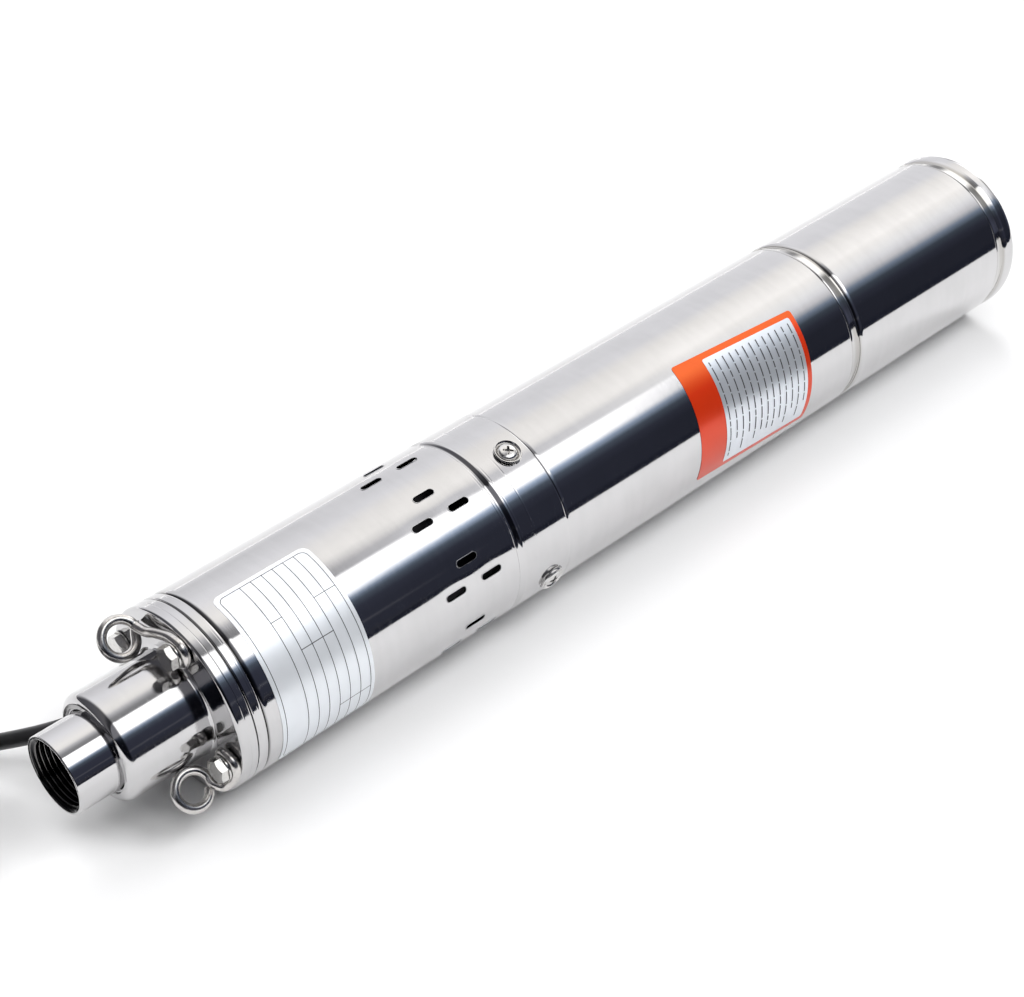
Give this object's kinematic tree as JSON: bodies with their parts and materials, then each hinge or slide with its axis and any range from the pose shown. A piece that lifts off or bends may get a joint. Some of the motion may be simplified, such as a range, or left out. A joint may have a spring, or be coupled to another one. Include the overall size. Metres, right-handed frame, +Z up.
{
  "type": "submersible well pump",
  "caption": "Slim tubular submersible screw pump lying on its side: threaded discharge head with lifting eyes, slotted casing, motor housing, foot, and a power cable in a coil.",
  "frame": {"origin": "on the ground under the middle of the pump, half way along its length", "axes": "+X along the pump from the discharge to the foot, +Z up, the labels face -Y and up"},
  "size_m": [0.7449, 0.1667, 0.0898],
  "materials": {
    "polished_steel": "mirror-polished stainless steel with fine scratches",
    "bright_steel": "bright stainless wire and fasteners",
    "dull_steel": "dull, in the dark behind the slots",
    "label_silver": "silver sticker",
    "label_orange": "orange and silver sticker",
    "cable_rubber": "black, slightly shiny",
    "pin_brass": "plated"
  },
  "bodies": {
    "root": {"outlet_socket": "polished_steel", "discharge_head": "polished_steel", "clamp_ring": "polished_steel", "head_bolt_1": "bright_steel", "head_bolt_2": "bright_steel", "head_bolt_3": "bright_steel", "head_bolt_4": "bright_steel", "bolt_washer_1": "bright_steel", "bolt_washer_2": "bright_steel", "bolt_washer_3": "bright_steel", "bolt_washer_4": "bright_steel", "lifting_eye_upper": "bright_steel", "lifting_eye_lower": "bright_steel", "pump_casing": "polished_steel", "stator_tube": "dull_steel", "joint_sleeve": "polished_steel", "screw_cup_1": "bright_steel", "screw_cup_2": "bright_steel", "screw_cup_3": "bright_steel", "screw_cup_4": "bright_steel", "sleeve_screw_1": "bright_steel", "sleeve_screw_2": "bright_steel", "sleeve_screw_3": "bright_steel", "sleeve_screw_4": "bright_steel", "motor_sleeve": "polished_steel", "mid_ring": "polished_steel", "lower_housing": "polished_steel", "foot_cap": "polished_steel", "rating_label": "label_silver", "info_label": "label_orange", "cable_gland": "cable_rubber", "cable_boot": "cable_rubber", "power_cable": "cable_rubber", "cable_coil": "cable_rubber", "coil_tie": "cable_rubber", "cable_tail": "cable_rubber", "plug_body": "cable_rubber", "plug_pin_1": "pin_brass", "plug_pin_2": "pin_brass"}
  },
  "joints": []
}
